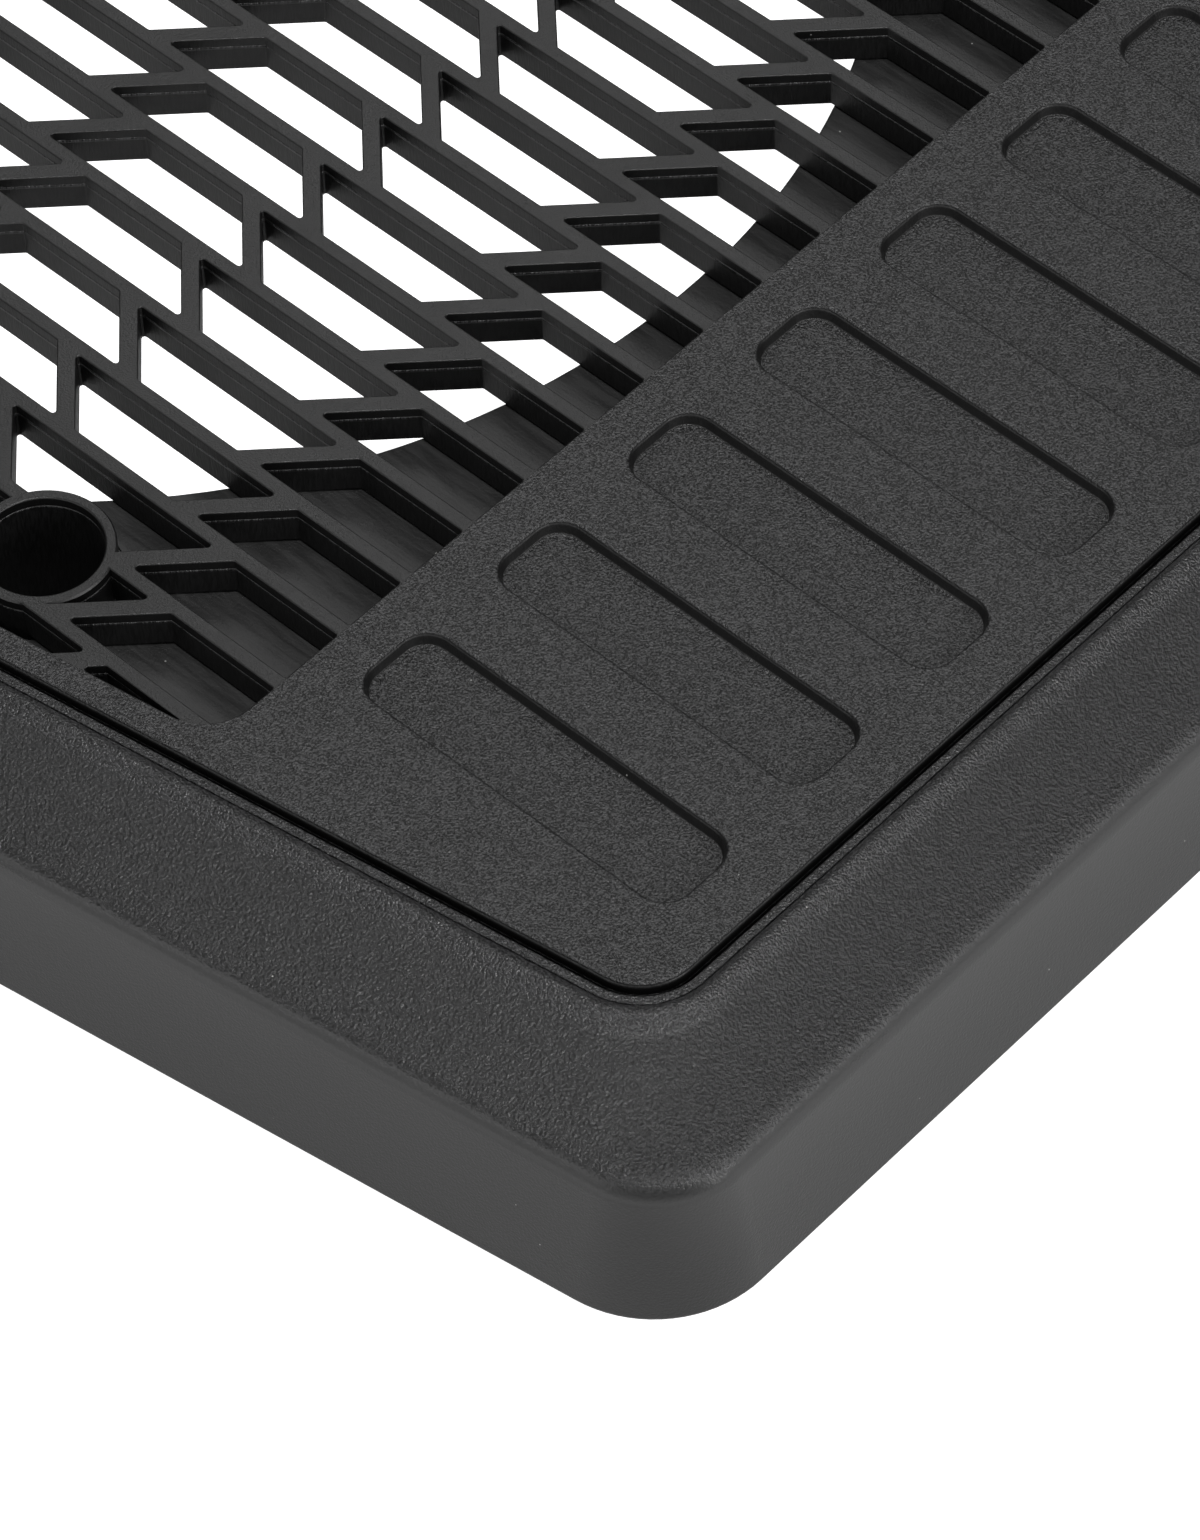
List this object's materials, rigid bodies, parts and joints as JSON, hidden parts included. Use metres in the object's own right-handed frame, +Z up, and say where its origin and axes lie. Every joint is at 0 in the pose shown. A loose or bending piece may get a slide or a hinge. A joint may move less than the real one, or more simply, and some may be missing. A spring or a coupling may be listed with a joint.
{
  "type": "door mat",
  "caption": "Rigid moulded scraper door mat: a wide sloping surround with a lift-out slotted grate that stands on tube legs.",
  "frame": {"origin": "on the floor under the middle of the mat", "axes": "+X along the mat, +Y across it, +Z up from the floor"},
  "size_m": [0.65, 0.4496, 0.0434],
  "materials": {
    "frame_plastic": "black moulded plastic with a leather-like grain",
    "grate_plastic": "black moulded plastic with a fine spark grain",
    "rubber": "matt black rubber"
  },
  "bodies": {
    "surround": {"frame": "frame_plastic", "foot_1": "rubber", "foot_2": "rubber", "foot_3": "rubber", "foot_4": "rubber", "foot_5": "rubber", "foot_6": "rubber"},
    "lift_out_grate": {"grate": "grate_plastic", "leg_1": "grate_plastic", "leg_2": "grate_plastic", "leg_3": "grate_plastic", "leg_4": "grate_plastic", "leg_plug_1": "rubber", "leg_plug_2": "rubber", "leg_plug_3": "rubber", "leg_plug_4": "rubber"}
  },
  "joints": [
    {"name": "grate_lift", "type": "slide", "parent": "surround", "child": "lift_out_grate", "axis": [0, 0, 1], "range_m": [0, 0.06]}
  ]
}
